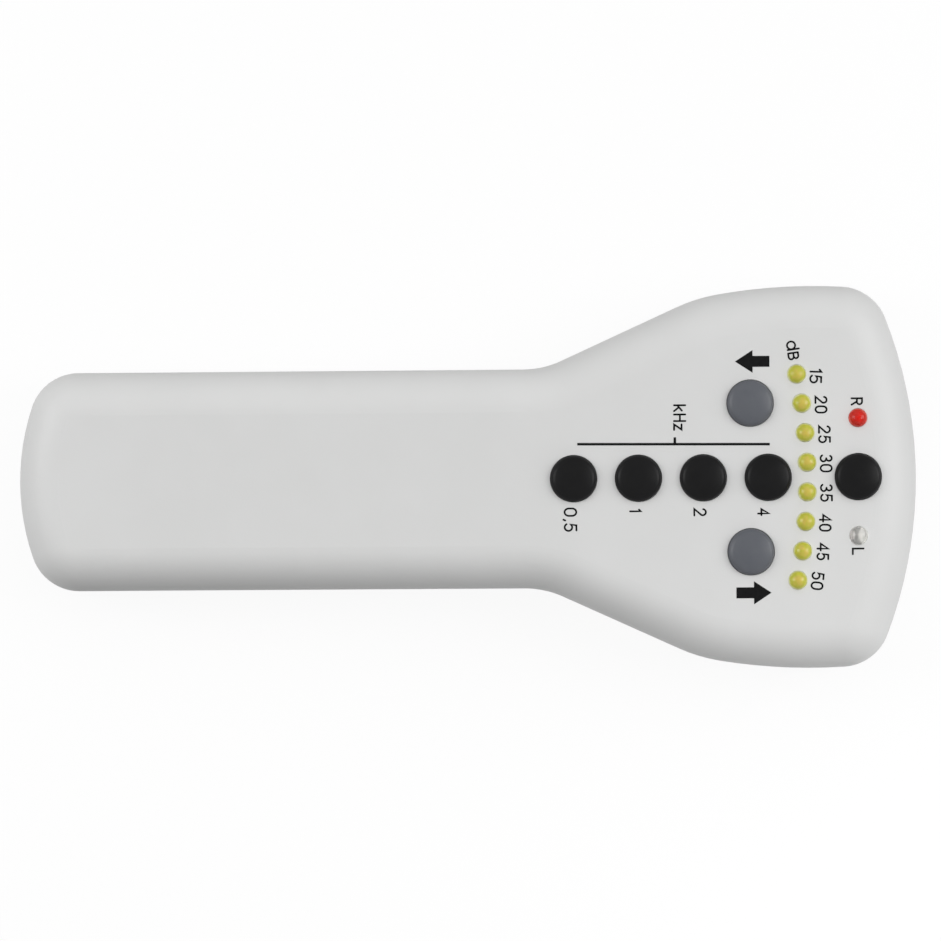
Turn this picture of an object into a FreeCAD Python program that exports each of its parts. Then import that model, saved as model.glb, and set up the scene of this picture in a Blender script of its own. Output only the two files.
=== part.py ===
import FreeCAD
import Part
import math
import os

# Handheld screening audiometer, millimetres. +X runs from the handle to the wide head,
# +Z up from the flat underside, and the origin is under the middle of the housing.

# Housing plan
length = 227.0                 # handle end to head tip
handle_half = 27.7             # half width of the straight handle
head_half = 48.3               # half width where the head is widest
widest_to_tip = 26.4           # widest place, back from the tip
flare_to_tip = 94.1            # where the flare leaves the handle, back from the tip
flare_angle = 24.5             # of the flare from the handle's side, degrees
handle_end_radius = 60.0       # crowned end of the handle
tip_radius = 111.0             # crowned end of the head
side_angle = 12.1              # bowed side still opens by this at the shoulder, degrees
handle_corner_radius = 12.5
neck_radius = 23.0             # hollow blend from handle to flare
shoulder_radius = 41.0         # blend from flare to the bowed side
tip_corner_radius = 12.5

# Housing section
height = 30.0                  # underside to top face
parting_height = 15.0          # where the two mouldings meet
wall = 2.5
handle_tilt = 2.5              # the top falls towards the handle's end, degrees
crease_to_tip = 97.5           # where that fall starts
crease_radius = 340.0          # blend between the level and the falling top
top_edge_radius = 11.0
bottom_edge_radius = 6.0
lip_height = 1.6               # tongue of the lower moulding inside the upper one
lip_thickness = 1.1
lip_gap = 0.1
reveal_height = 0.5            # shadow groove round the outside where the mouldings meet
reveal_depth = 0.5
rib_thickness = 1.5
rib_depth = 2.4
rib_count = 3                  # cross ribs in each moulding

# Keys and lights, placed back from the tip and sideways from the centre line
tone_key_to_tip = 86.8         # lowest tone key
tone_key_pitch = 16.23
tone_key_names = ["500hz", "1khz", "2khz", "4khz"]
ear_key_to_tip = 15.55
level_key_to_tip = 42.5
level_key_side = 18.6
light_arc_radius = 134.0       # the row of level lights is bent to this arc
light_arc_to_tip = 28.3        # crown of that arc
light_pitch = 7.42             # between neighbouring level lights, along the arc
light_levels = [15, 20, 25, 30, 35, 40, 45, 50]
ear_light_side = 14.75

# Key cap, stem and switch
cap_radius = 5.8
cap_rise = 2.3                 # crown of the cap above the top face
cap_crown_radius = 15.0        # of the domed top
cap_edge_radius = 1.7          # rolls off from the dome into the side
cap_tuck = 0.9                 # skirt below the inside of the top wall
cap_gap = 0.15                 # around the cap in its hole
collar_wall = 1.6              # raised collar round the hole, inside
collar_depth = 1.4
stem_radius = 2.0
stem_grip = 2.9                # length of stem held in the cap
stem_flange_radius = 3.7
stem_flange_thickness = 1.0
stem_guide_gap = 0.1
switch_side = 10.0
switch_height = 4.4
switch_floor = 0.8
switch_cover = 1.05
switch_well_radius = 4.1
switch_play = 0.1              # stem flange below the switch cover
dome_radius = 3.5              # sprung metal dome below the stem
dome_top_radius = 1.4
dome_thickness = 0.15
dome_gap = 0.05

# Lights
light_radius = 2.35
light_flange_radius = 2.75
light_flange_thickness = 1.0
light_length = 8.6
light_rise = 2.0               # tip of the lens above the top face
light_gap = 0.05               # around a lens in its hole
lead_side = 0.5
lead_pitch = 2.54
lead_tail = 1.0                # below the circuit board
spacer_wall = 0.6              # sleeve of the spacer that carries a light above the board
spacer_gap = 0.1               # around a light's flange in its spacer
spacer_hole_radius = 0.5       # for a lead
spacer_to_collar = 0.3         # spacers end this far below the collars of the keys

# Circuit board
board_height = 18.2            # underside of the board
board_thickness = 1.6
board_edge_gap = 4.5           # from the housing's inner wall
board_tongue_half = 14.0       # half width of the narrow part in the handle
board_head_to_flare = 3.0      # wide part starts this far past the flare's start
board_hole_gap = 0.6           # around a housing boss that passes through

# Screws: pan head, self-tapping, all of one size
screw_radius = 1.1
screw_head_radius = 2.0
screw_head_height = 1.5
screw_head_gap = 0.3
boss_radius = 3.6
boss_bore_gap = 0.15           # around a screw in its clearance hole
housing_screw_seat = 8.0       # height of the seat under the screw's head
housing_screw_length = 13.0
board_screw_length = 6.5
pilot_spare = 1.0              # pilot hole past the screw's end
handle_screw_to_end = 12.0
handle_screw_to_side = 7.7     # from the handle's side
neck_screw_to_tip = 127.0
neck_screw_to_side = 7.2
head_screw_to_tip = 21.0
head_screw_to_side = 14.0      # from the head's widest side
rear_board_screw_to_tip = 79.0
rear_board_screw_side = 20.0
front_board_screw_to_tip = 12.5
front_board_screw_side = 25.5

# Battery (9 V block), its contacts and its bay
battery_length = 46.4          # case without the terminals
battery_width = 26.5
battery_thickness = 17.5
battery_edge_radius = 1.5
battery_gap = 0.3
terminal_height = 2.1
terminal_spacing = 12.9
plus_terminal_radius = 2.8
minus_terminal_radius = 4.0
clip_thickness = 0.8
clip_rim = 0.5                 # clip wider than the terminal it grips
plate_thickness = 1.6
strip_width = 3.0
strip_thickness = 0.4
strip_overlap = 4.0            # of a strip below the circuit board
window_gap = 0.8               # around the strips in the bay's end wall
bay_to_end = 15.0              # bay's near wall from the handle's end
bay_wall = 1.5
bay_side_gap = 0.35

# Battery door
door_half = 15.2               # half width of the outer panel
door_panel_thickness = 1.3
door_thickness = 2.5           # panel and side tongues together
door_tongue = 1.2              # tongues stand out this far beside the panel
door_gap = 0.2                 # beside and at the end of the door
door_play = 0.15               # above and below the tongues
rail_width = 1.7               # rails outside the door's grooves
rail_height = 1.5              # rails and deck above the door
grip_count = 6                 # grooves for the thumb
grip_pitch = 2.6
grip_width = 1.3
grip_half = 8.0
grip_depth = 0.5
grip_to_end = 12.0

# Headphone socket
socket_bore_radius = 1.8
socket_bore_depth = 14.0
socket_body_length = 14.0
socket_body_width = 9.0
socket_body_drop = 3.1         # from the bore's axis to the underside of the body
collar_radius = 3.0            # metal nose in the housing's end wall
collar_step = 0.3              # nose stands back from the housing's surface
collar_gap = 0.15

# Parts on the circuit board: length, width, height
processor_size = (10.0, 10.0, 1.4)
processor_to_flare = 16.0
amplifier_size = (4.9, 3.9, 1.5)
amplifier_to_tip = 68.0
amplifier_side = 21.0
crystal_size = (11.0, 4.6, 3.5)
crystal_to_flare = 31.0
capacitor_radius = 2.5
capacitor_height = 5.0
capacitor_pitch = 7.0
capacitor_to_flare = 6.0
resistor_size = (3.2, 1.6, 0.6)
resistor_pitch = 5.0
resistor_to_tip = 47.0
resistor_side = 31.0
resistor_count = 4

# How edges and faces are picked out
meeting = 1e-3                 # places closer than this are one
facing = 0.9                   # cosine of the angle within which a face looks a given way

# Worked out from the sizes above
tip_x = length / 2
end_x = -length / 2
flare_x = tip_x - flare_to_tip
crease_x = tip_x - crease_to_tip
flare_slope = math.tan(math.radians(flare_angle))
side_turn = math.radians(side_angle)
flare_overrun = (tip_x - widest_to_tip - flare_x) * flare_slope - (head_half - handle_half)
side_radius = flare_overrun / (math.sin(side_turn) * flare_slope + math.cos(side_turn) - 1)
roof = height - wall
board_top = board_height + board_thickness
light_foot = height + light_rise - light_length
axis_z = parting_height
bay_x0 = end_x + bay_to_end
case_x0 = bay_x0 + battery_gap
case_x1 = case_x0 + battery_length
clip_x = case_x1 + terminal_height
plate_x = clip_x + clip_thickness
bay_x1 = plate_x + plate_thickness
bay_half = battery_width / 2 + bay_side_gap
battery_z = door_thickness + battery_gap
bay_roof = battery_z + battery_thickness + battery_gap
deck = door_thickness + door_play
board_x0 = bay_x1 + 2 * bay_wall
door_x1 = plate_x
tongue_half = door_half + door_tongue


def vec(x, y, z=0.0):
    return FreeCAD.Vector(x, y, z)


def box(x0, x1, y0, y1, z0, z1):
    return Part.makeBox(x1 - x0, y1 - y0, z1 - z0, vec(x0, y0, z0))


def post(x, y, z0, z1, radius):
    return Part.makeCylinder(radius, z1 - z0, vec(x, y, z0))


def rod(x0, x1, y, z, radius):
    return Part.makeCylinder(radius, x1 - x0, vec(x0, y, z), vec(1, 0, 0))


def both_sides(x, side):
    return [(x, side), (x, -side)]


def joined(shapes):
    return shapes[0].fuse(shapes[1:]).removeSplitter()


# A section of straight lines and arcs in the X-Z plane, turned about the Z axis.
# An arc is written as a pair: a point on it, then its end.
def turned(start, steps):
    edges = []
    here = vec(start[0], 0, start[1])
    for step in steps:
        if isinstance(step[0], tuple):
            through = vec(step[0][0], 0, step[0][1])
            there = vec(step[1][0], 0, step[1][1])
            edges.append(Part.Arc(here, through, there).toShape())
        else:
            there = vec(step[0], 0, step[1])
            edges.append(Part.makeLine(here, there))
        here = there
    edges.append(Part.makeLine(here, vec(start[0], 0, start[1])))
    face = Part.Face(Part.Wire(edges))
    return face.revolve(vec(0, 0), vec(0, 0, 1), 360)


# ---- Plan of the housing ----

def circle_meets_circle(centre_a, radius_a, centre_b, radius_b):
    dx = centre_b[0] - centre_a[0]
    dy = centre_b[1] - centre_a[1]
    apart = math.hypot(dx, dy)
    along = (radius_a ** 2 - radius_b ** 2 + apart ** 2) / (2 * apart)
    across = math.sqrt(radius_a ** 2 - along ** 2)
    meets = []
    for sign in (1, -1):
        x = centre_a[0] + (along * dx - sign * across * dy) / apart
        y = centre_a[1] + (along * dy + sign * across * dx) / apart
        meets.append((x, y))
    return max(meets, key=lambda place: place[1])


# The left half of the outline before its corners are rounded, moved inwards by inset.
def plan_corners(inset):
    slope = math.radians(flare_angle)
    half = handle_half - inset
    end_centre_x = end_x + handle_end_radius
    handle_corner = (end_centre_x - math.sqrt((handle_end_radius - inset) ** 2 - half ** 2), half)
    neck = (flare_x + inset * math.tan(slope / 2), half)
    side_centre = (tip_x - widest_to_tip, head_half - side_radius)
    side = side_radius - inset
    dx = neck[0] - side_centre[0]
    dy = neck[1] - side_centre[1]
    toward = dx * math.cos(slope) + dy * math.sin(slope)
    run = -toward + math.sqrt(toward ** 2 - dx ** 2 - dy ** 2 + side ** 2)
    shoulder = (neck[0] + run * math.cos(slope), neck[1] + run * math.sin(slope))
    tip_centre = (tip_x - tip_radius, 0)
    tip_corner = circle_meets_circle(side_centre, side, tip_centre, tip_radius - inset)
    turn_a = math.atan2(shoulder[1] - side_centre[1], shoulder[0] - side_centre[0])
    turn_b = math.atan2(tip_corner[1] - side_centre[1], tip_corner[0] - side_centre[0])
    middle = (turn_a + turn_b) / 2
    bow = (side_centre[0] + side * math.cos(middle), side_centre[1] + side * math.sin(middle))
    return handle_corner, neck, shoulder, bow, tip_corner


def upright_edges(solid, place):
    found = []
    for edge in solid.Edges:
        ends = [vertex.Point for vertex in edge.Vertexes]
        if len(ends) != 2 or abs(ends[0].z - ends[1].z) < meeting:
            continue
        if all(math.hypot(end.x - place[0], abs(end.y) - place[1]) < meeting for end in ends):
            found.append(edge)
    return found


# Prism of the housing's plan. Hollow corners open up as the plan moves inwards.
def plan_prism(inset, z0, z1):
    handle_corner, neck, shoulder, bow, tip_corner = plan_corners(inset)

    def left(place):
        return vec(place[0], place[1], z0)

    def right(place):
        return vec(place[0], -place[1], z0)

    far_end = vec(end_x + inset, 0, z0)
    far_tip = vec(tip_x - inset, 0, z0)
    edges = [
        Part.Arc(right(handle_corner), far_end, left(handle_corner)).toShape(),
        Part.makeLine(left(handle_corner), left(neck)),
        Part.makeLine(left(neck), left(shoulder)),
        Part.Arc(left(shoulder), left(bow), left(tip_corner)).toShape(),
        Part.Arc(left(tip_corner), far_tip, right(tip_corner)).toShape(),
        Part.Arc(right(tip_corner), right(bow), right(shoulder)).toShape(),
        Part.makeLine(right(shoulder), right(neck)),
        Part.makeLine(right(neck), right(handle_corner)),
    ]
    prism = Part.Face(Part.Wire(edges)).extrude(vec(0, 0, z1 - z0))
    corners = [
        (handle_corner, handle_corner_radius - inset),
        (neck, neck_radius + inset),
        (shoulder, shoulder_radius - inset),
        (tip_corner, tip_corner_radius - inset),
    ]
    for place, radius in corners:
        prism = prism.makeFillet(radius, upright_edges(prism, place))
    return prism


# Height of the top face over any place along the housing, before the crease is blended.
def top_at(x):
    return height - max(0, crease_x - x) * math.tan(math.radians(handle_tilt))


# Everything below the top face, moved down by inset: level over the head, falling
# over the handle, with an arc between them.
def below_top(inset):
    tilt = math.radians(handle_tilt)
    level = height - inset
    radius = crease_radius - inset
    run = radius * math.tan(tilt / 2)
    bend_x = crease_x - inset * math.tan(tilt / 2)
    side = -head_half - wall
    front = tip_x + wall
    back = end_x - wall
    points = [
        vec(bend_x + run, side, level),
        vec(bend_x + run - radius * math.sin(tilt / 2), side, level - radius * (1 - math.cos(tilt / 2))),
        vec(bend_x - run * math.cos(tilt), side, level - run * math.sin(tilt)),
        vec(back, side, level - (bend_x - back) * math.tan(tilt)),
        vec(back, side, 0),
        vec(front, side, 0),
        vec(front, side, level),
    ]
    edges = [Part.Arc(points[0], points[1], points[2]).toShape()]
    for here, there in zip(points[2:], points[3:] + points[:1]):
        edges.append(Part.makeLine(here, there))
    return Part.Face(Part.Wire(edges)).extrude(vec(0, -2 * side))


# The edges round a chain of smooth faces: those that only one face of the chain has.
def rim_edges(faces):
    rim = []
    for face in faces:
        for edge in face.OuterWire.Edges:
            owners = [f for f in faces if any(edge.isSame(other) for other in f.OuterWire.Edges)]
            if len(owners) == 1:
                rim.append(edge)
    return rim


def faces_turned(solid, direction):
    found = []
    for face in solid.Faces:
        u0, u1, v0, v1 = face.ParameterRange
        if face.normalAt((u0 + u1) / 2, (v0 + v1) / 2).dot(direction) > facing:
            found.append(face)
    return found


def upper_block(inset):
    block = plan_prism(inset, parting_height, height + wall).common(below_top(inset))
    return block.makeFillet(top_edge_radius - inset, rim_edges(faces_turned(block, vec(0, 0, 1))))


def lower_block(inset):
    block = plan_prism(inset, inset, parting_height)
    return block.makeFillet(bottom_edge_radius - inset, rim_edges(faces_turned(block, vec(0, 0, -1))))


# ---- Places ----

def tone_key_places():
    first = tip_x - tone_key_to_tip
    return [(first + tone_key_pitch * i, 0.0) for i in range(len(tone_key_names))]


def key_places():
    places = {}
    for name, place in zip(tone_key_names, tone_key_places()):
        places[name] = place
    places["ear"] = (tip_x - ear_key_to_tip, 0.0)
    places["level_down"] = (tip_x - level_key_to_tip, level_key_side)
    places["level_up"] = (tip_x - level_key_to_tip, -level_key_side)
    return places


def level_light_places():
    centre_x = tip_x - light_arc_to_tip - light_arc_radius
    step = light_pitch / light_arc_radius
    first = step * (len(light_levels) - 1) / 2
    places = {}
    for i, level in enumerate(light_levels):
        turn = first - step * i
        places["level_light_%d" % level] = (
            centre_x + light_arc_radius * math.cos(turn), light_arc_radius * math.sin(turn))
    return places


def light_places():
    places = level_light_places()
    places["right_light"] = (tip_x - ear_key_to_tip, ear_light_side)
    places["left_light"] = (tip_x - ear_key_to_tip, -ear_light_side)
    return places


def housing_screw_places():
    return (both_sides(end_x + handle_screw_to_end, handle_half - handle_screw_to_side)
            + both_sides(tip_x - neck_screw_to_tip, handle_half - neck_screw_to_side)
            + both_sides(tip_x - head_screw_to_tip, head_half - head_screw_to_side))


def board_screw_places():
    return (both_sides(tip_x - rear_board_screw_to_tip, rear_board_screw_side)
            + both_sides(tip_x - front_board_screw_to_tip, front_board_screw_side))


# ---- Housing ----

def socket_hole():
    start = tip_x - 2 * wall
    return rod(start, tip_x + wall, 0, axis_z, collar_radius + collar_gap)


# The tongue of the lower moulding, or with a gap the space for it in the upper one.
def lip_ring(gap):
    top = parting_height + lip_height + gap
    outer = plan_prism(wall - lip_thickness - gap, parting_height, top)
    return outer.cut(plan_prism(wall + gap, parting_height, top))


def top_shell():
    inside = upper_block(wall / 2)
    shell = upper_block(0).cut(upper_block(wall))
    added = []
    for x, y in housing_screw_places():
        added.append(post(x, y, parting_height, height, boss_radius).common(inside))
    for x, y in board_screw_places():
        added.append(post(x, y, board_top, height, boss_radius).common(inside))
    for x, y in key_places().values():
        added.append(post(x, y, roof - collar_depth, height - wall / 2, cap_radius + cap_gap + collar_wall))
    rib_pitch = (flare_x - board_x0) / rib_count
    for i in range(rib_count):
        x = board_x0 + rib_pitch / 2 + rib_pitch * i
        bar = box(x, x + rib_thickness, -handle_half, handle_half, top_at(x) - wall - rib_depth, height)
        added.append(bar.common(inside))
    shell = shell.fuse(added)
    cuts = [socket_hole(), lip_ring(lip_gap)]
    for x, y in key_places().values():
        cuts.append(post(x, y, parting_height, height + wall, cap_radius + cap_gap))
    for x, y in light_places().values():
        cuts.append(post(x, y, parting_height, height + wall, light_radius + light_gap))
    screw_end = housing_screw_seat + housing_screw_length + pilot_spare
    for x, y in housing_screw_places():
        cuts.append(post(x, y, parting_height, screw_end, screw_radius))
    for x, y in board_screw_places():
        cuts.append(post(x, y, board_top, board_height + board_screw_length + pilot_spare, screw_radius))
    return shell.cut(cuts)


# Space that the door slides in: its outer panel and its tongues, open at the handle's end.
def door_space():
    panel = box(end_x - wall, door_x1 + door_gap, -door_half - door_gap, door_half + door_gap,
                -wall, deck)
    groove = box(end_x - wall, door_x1 + door_tongue + door_gap,
                 -tongue_half - door_gap, tongue_half + door_gap,
                 door_panel_thickness - door_play, deck)
    return panel.fuse(groove)


def battery_door():
    panel = box(end_x, door_x1, -door_half, door_half, 0, door_thickness)
    tongue = box(end_x, door_x1 + door_tongue, -tongue_half, tongue_half,
                 door_panel_thickness, door_thickness)
    door = joined([panel, tongue]).common(lower_block(0))
    grooves = []
    for i in range(grip_count):
        x = end_x + grip_to_end + grip_pitch * i
        grooves.append(box(x, x + grip_width, -grip_half, grip_half, -wall, grip_depth))
    return door.cut(grooves)


def bottom_shell():
    inside = lower_block(wall / 2)
    shell = lower_block(0).cut(lower_block(wall))
    rail_half = tongue_half + door_gap + rail_width
    rails = box(end_x, bay_x1 + bay_wall, -rail_half, rail_half, wall / 2, deck + rail_height)
    bay_outer = box(bay_x0 - bay_wall, bay_x1 + bay_wall, -bay_half - bay_wall, bay_half + bay_wall,
                    wall / 2, bay_roof + bay_wall)
    added = [lip_ring(0), rails.common(inside), bay_outer]
    for x, y in housing_screw_places():
        added.append(post(x, y, 0, parting_height, boss_radius).common(inside))
    rib_pitch = flare_to_tip / (rib_count + 1)
    for i in range(rib_count):
        x = flare_x + rib_pitch / 2 + rib_pitch * i
        bar = box(x, x + rib_thickness, -head_half, head_half, wall / 2, wall + rib_depth)
        added.append(bar.common(inside))
    shell = shell.fuse(added)
    strip_side = terminal_spacing / 2 + strip_width / 2 + window_gap
    cuts = [
        box(bay_x0, bay_x1, -bay_half, bay_half, 0, bay_roof).cut(
            box(door_x1 + door_gap, bay_x1, -bay_half, bay_half, 0, deck)),
        box(bay_x1 - window_gap, bay_x1 + 2 * bay_wall, -strip_side, strip_side,
            board_height - strip_thickness - window_gap, bay_roof),
        door_space(),
        socket_hole(),
        plan_prism(0, parting_height - reveal_height, parting_height).cut(
            plan_prism(reveal_depth, parting_height - reveal_height, parting_height)),
    ]
    for x, y in housing_screw_places():
        cuts.append(post(x, y, -wall, housing_screw_seat, screw_head_radius + screw_head_gap))
        cuts.append(post(x, y, 0, parting_height, screw_radius + boss_bore_gap))
    return shell.cut(cuts)


# ---- Keys ----

def key_cap(x, y):
    crown = height + cap_rise
    crown_centre = crown - cap_crown_radius
    edge_centre = cap_radius - cap_edge_radius
    reach = cap_crown_radius - cap_edge_radius
    side_top = crown_centre + math.sqrt(reach ** 2 - edge_centre ** 2)
    tilt = math.asin(edge_centre / reach)
    roll = (tilt + math.pi / 2) / 2
    skirt = roof - cap_tuck

    def on_crown(angle):
        return cap_crown_radius * math.sin(angle), crown_centre + cap_crown_radius * math.cos(angle)

    on_edge = (edge_centre + cap_edge_radius * math.sin(roll), side_top + cap_edge_radius * math.cos(roll))
    cap = turned((0, crown), [
        (on_crown(tilt / 2), on_crown(tilt)),
        (on_edge, (cap_radius, side_top)),
        (cap_radius, skirt),
        (stem_radius, skirt),
        (stem_radius, skirt + stem_grip),
        (0, skirt + stem_grip),
    ])
    cap.translate(vec(x, y))
    return cap


def key_stem(x, y):
    flange_top = board_top + switch_height - switch_cover - switch_play
    flange_foot = flange_top - stem_flange_thickness
    stem = turned((0, flange_foot), [
        (stem_flange_radius, flange_foot),
        (stem_flange_radius, flange_top),
        (stem_radius, flange_top),
        (stem_radius, roof - cap_tuck + stem_grip),
        (0, roof - cap_tuck + stem_grip),
    ])
    stem.translate(vec(x, y))
    return stem


def switch_base(x, y):
    half = switch_side / 2
    top = board_top + switch_height
    base = box(x - half, x + half, y - half, y + half, board_top, top)
    well = post(x, y, board_top + switch_floor, top - switch_cover, switch_well_radius)
    return base.cut([well, post(x, y, board_top + switch_floor, top, stem_radius + stem_guide_gap)])


# A sprung disc with a flat top that stands on its rim and bends down below the stem.
def switch_dome(x, y):
    foot = board_top + switch_floor
    top = board_top + switch_height - switch_cover - switch_play - stem_flange_thickness - dome_gap
    dome = turned((0, top - dome_thickness), [
        (dome_top_radius - dome_thickness, top - dome_thickness),
        (dome_radius - dome_thickness, foot),
        (dome_radius, foot),
        (dome_top_radius, top),
        (0, top),
    ])
    dome.translate(vec(x, y))
    return dome


# ---- Lights ----

def light(x, y):
    tip = height + light_rise
    shoulder = tip - light_radius
    bow = light_radius * math.sqrt(0.5)
    lens = turned((0, light_foot), [
        (light_flange_radius, light_foot),
        (light_flange_radius, light_foot + light_flange_thickness),
        (light_radius, light_foot + light_flange_thickness),
        (light_radius, shoulder),
        ((bow, shoulder + bow), (0, tip)),
    ])
    lens.translate(vec(x, y))
    return lens


def light_leads():
    half = lead_side / 2
    leads = []
    for x, y in light_places().values():
        for side in (lead_pitch / 2, -lead_pitch / 2):
            leads.append(box(x - half, x + half, y + side - half, y + side + half,
                             board_height - lead_tail, light_foot))
    return Part.makeCompound(leads)


# A nylon sleeve with a thick floor that the light stands in and its two leads pass through.
def light_spacers():
    foot_radius = light_flange_radius + spacer_gap + spacer_wall
    spacers = []
    for x, y in light_places().values():
        sleeve = post(x, y, board_top, roof - collar_depth - spacer_to_collar, foot_radius)
        cuts = [post(x, y, light_foot, roof, light_flange_radius + spacer_gap)]
        for side in (lead_pitch / 2, -lead_pitch / 2):
            cuts.append(post(x, y + side, board_top, light_foot, spacer_hole_radius))
        spacers.append(sleeve.cut(cuts))
    return Part.makeCompound(spacers)


# ---- Circuit board and what is on it ----

def circuit_board():
    wide_x = flare_x + board_head_to_flare
    head = plan_prism(wall + board_edge_gap, board_height, board_top).common(
        box(wide_x, tip_x, -head_half, head_half, board_height, board_top))
    tongue = box(board_x0, wide_x + board_edge_gap, -board_tongue_half, board_tongue_half,
                 board_height, board_top)
    board = joined([head, tongue])
    cuts = [light_leads()]
    for x, y in housing_screw_places():
        cuts.append(post(x, y, board_height, board_top, boss_radius + board_hole_gap))
    for x, y in board_screw_places():
        cuts.append(post(x, y, board_height, board_top, screw_radius))
    return board.cut(cuts)


def chip(size, x, y):
    return box(x - size[0] / 2, x + size[0] / 2, y - size[1] / 2, y + size[1] / 2,
               board_top, board_top + size[2])


def capacitors():
    cans = []
    for i in (-1, 0, 1):
        cans.append(post(flare_x - capacitor_to_flare, capacitor_pitch * i, board_top,
                         board_top + capacitor_height, capacitor_radius))
    return Part.makeCompound(cans)


def resistors():
    first = tip_x - resistor_to_tip
    chips = []
    for i in range(resistor_count):
        for x, y in both_sides(first - resistor_pitch * i, resistor_side - resistor_pitch * i / 2):
            chips.append(chip(resistor_size, x, y))
    return Part.makeCompound(chips)


# ---- Headphone socket ----

def collar_start():
    return tip_x - wall - collar_step


def headphone_socket():
    x1 = collar_start()
    body = box(x1 - socket_body_length, x1, -socket_body_width / 2, socket_body_width / 2,
               axis_z - socket_body_drop, board_height)
    bore_end = tip_x - collar_step - socket_bore_depth
    return body.cut(rod(bore_end, x1, 0, axis_z, socket_bore_radius))


def socket_collar():
    ring = rod(collar_start(), tip_x - collar_step, 0, axis_z, collar_radius)
    return ring.cut(rod(collar_start(), tip_x, 0, axis_z, socket_bore_radius))


# ---- Battery and contacts ----

def battery_case():
    case = box(case_x0, case_x1, -battery_width / 2, battery_width / 2,
               battery_z, battery_z + battery_thickness)
    long_edges = [e for e in case.Edges if abs(e.BoundBox.XLength - battery_length) < meeting]
    return case.makeFillet(battery_edge_radius, long_edges)


def battery_terminals():
    side = terminal_spacing / 2
    z = battery_z + battery_thickness / 2
    return Part.makeCompound([
        rod(case_x1, clip_x, side, z, plus_terminal_radius),
        rod(case_x1, clip_x, -side, z, minus_terminal_radius),
    ])


def contact_clips():
    side = terminal_spacing / 2
    z = battery_z + battery_thickness / 2
    return Part.makeCompound([
        rod(clip_x, plate_x, side, z, plus_terminal_radius + clip_rim),
        rod(clip_x, plate_x, -side, z, minus_terminal_radius + clip_rim),
    ])


def contact_plate():
    return box(plate_x, bay_x1, -bay_half, bay_half, deck, bay_roof)


def contact_strips():
    strips = []
    for side in (terminal_spacing / 2, -terminal_spacing / 2):
        strips.append(box(bay_x1, board_x0 + strip_overlap, side - strip_width / 2,
                          side + strip_width / 2, board_height - strip_thickness, board_height))
    return Part.makeCompound(strips)


# ---- Screws ----

# Pan-head screw, head down, its head's seat at the given height.
def screw(x, y, seat, shank):
    foot = seat - screw_head_height
    return joined([post(x, y, foot, seat, screw_head_radius), post(x, y, seat, seat + shank, screw_radius)])


def housing_screws():
    return Part.makeCompound([screw(x, y, housing_screw_seat, housing_screw_length)
                              for x, y in housing_screw_places()])


def board_screws():
    return Part.makeCompound([screw(x, y, board_height, board_screw_length)
                              for x, y in board_screw_places()])


# ---- The whole ----

def build():
    nodes = {
        "top_shell": top_shell(),
        "bottom_shell": bottom_shell(),
        "battery_door": battery_door(),
        "circuit_board": circuit_board(),
        "light_leads": light_leads(),
        "light_spacers": light_spacers(),
        "processor_chip": chip(processor_size, flare_x - processor_to_flare, 0),
        "amplifier_chip": chip(amplifier_size, tip_x - amplifier_to_tip, amplifier_side),
        "crystal_can": chip(crystal_size, flare_x - crystal_to_flare, 0),
        "capacitors": capacitors(),
        "resistors": resistors(),
        "headphone_socket": headphone_socket(),
        "socket_collar": socket_collar(),
        "battery_case": battery_case(),
        "battery_terminals": battery_terminals(),
        "contact_clips": contact_clips(),
        "contact_plate": contact_plate(),
        "contact_strips": contact_strips(),
        "housing_screws": housing_screws(),
        "board_screws": board_screws(),
    }
    for name, (x, y) in key_places().items():
        nodes["key_cap_" + name] = key_cap(x, y)
        nodes["key_stem_" + name] = key_stem(x, y)
        nodes["switch_base_" + name] = switch_base(x, y)
        nodes["switch_dome_" + name] = switch_dome(x, y)
    for name, (x, y) in light_places().items():
        nodes[name] = light(x, y)
    return nodes


os.makedirs("parts", exist_ok=True)
for name, shape in build().items():
    shape.exportStep("parts/%s.step" % name)
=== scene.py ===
import math

import bmesh
import bpy
from mathutils import Matrix, Vector


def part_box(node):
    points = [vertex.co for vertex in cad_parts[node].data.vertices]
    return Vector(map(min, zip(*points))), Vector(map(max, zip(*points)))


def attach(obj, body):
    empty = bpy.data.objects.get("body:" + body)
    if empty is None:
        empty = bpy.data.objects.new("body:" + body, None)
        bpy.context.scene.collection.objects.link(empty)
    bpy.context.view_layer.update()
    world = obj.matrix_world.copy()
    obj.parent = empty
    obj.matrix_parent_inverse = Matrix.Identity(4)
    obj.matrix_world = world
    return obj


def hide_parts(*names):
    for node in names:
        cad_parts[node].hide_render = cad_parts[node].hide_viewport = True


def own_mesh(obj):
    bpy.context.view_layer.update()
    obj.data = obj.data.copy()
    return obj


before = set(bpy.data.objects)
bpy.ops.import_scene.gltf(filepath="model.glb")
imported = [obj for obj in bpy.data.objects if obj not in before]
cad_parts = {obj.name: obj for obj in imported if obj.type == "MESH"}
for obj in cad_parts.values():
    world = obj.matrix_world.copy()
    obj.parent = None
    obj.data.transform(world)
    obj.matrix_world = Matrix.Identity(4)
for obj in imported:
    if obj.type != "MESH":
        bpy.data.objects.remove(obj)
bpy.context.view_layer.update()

mm = 0.001
tiny = 1e-8                      # a lathe's point nearer to the axis than this lies on it
scene = bpy.context.scene
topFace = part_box("top_shell")[1].z
print("frame loaded:", len(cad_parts), "nodes")


def finishMesh(mesh, sharpAngle=35):
    # smooth faces with crisp edges past an angle in degrees
    for polygon in mesh.polygons:
        polygon.use_smooth = True
    mesh.set_sharp_from_angle(angle=math.radians(sharpAngle))
    return mesh


def makeObject(name, mesh, material=None):
    piece = bpy.data.objects.new(name, mesh)
    scene.collection.objects.link(piece)
    if material:
        mesh.materials.clear()
        mesh.materials.append(material)
    return piece


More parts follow.
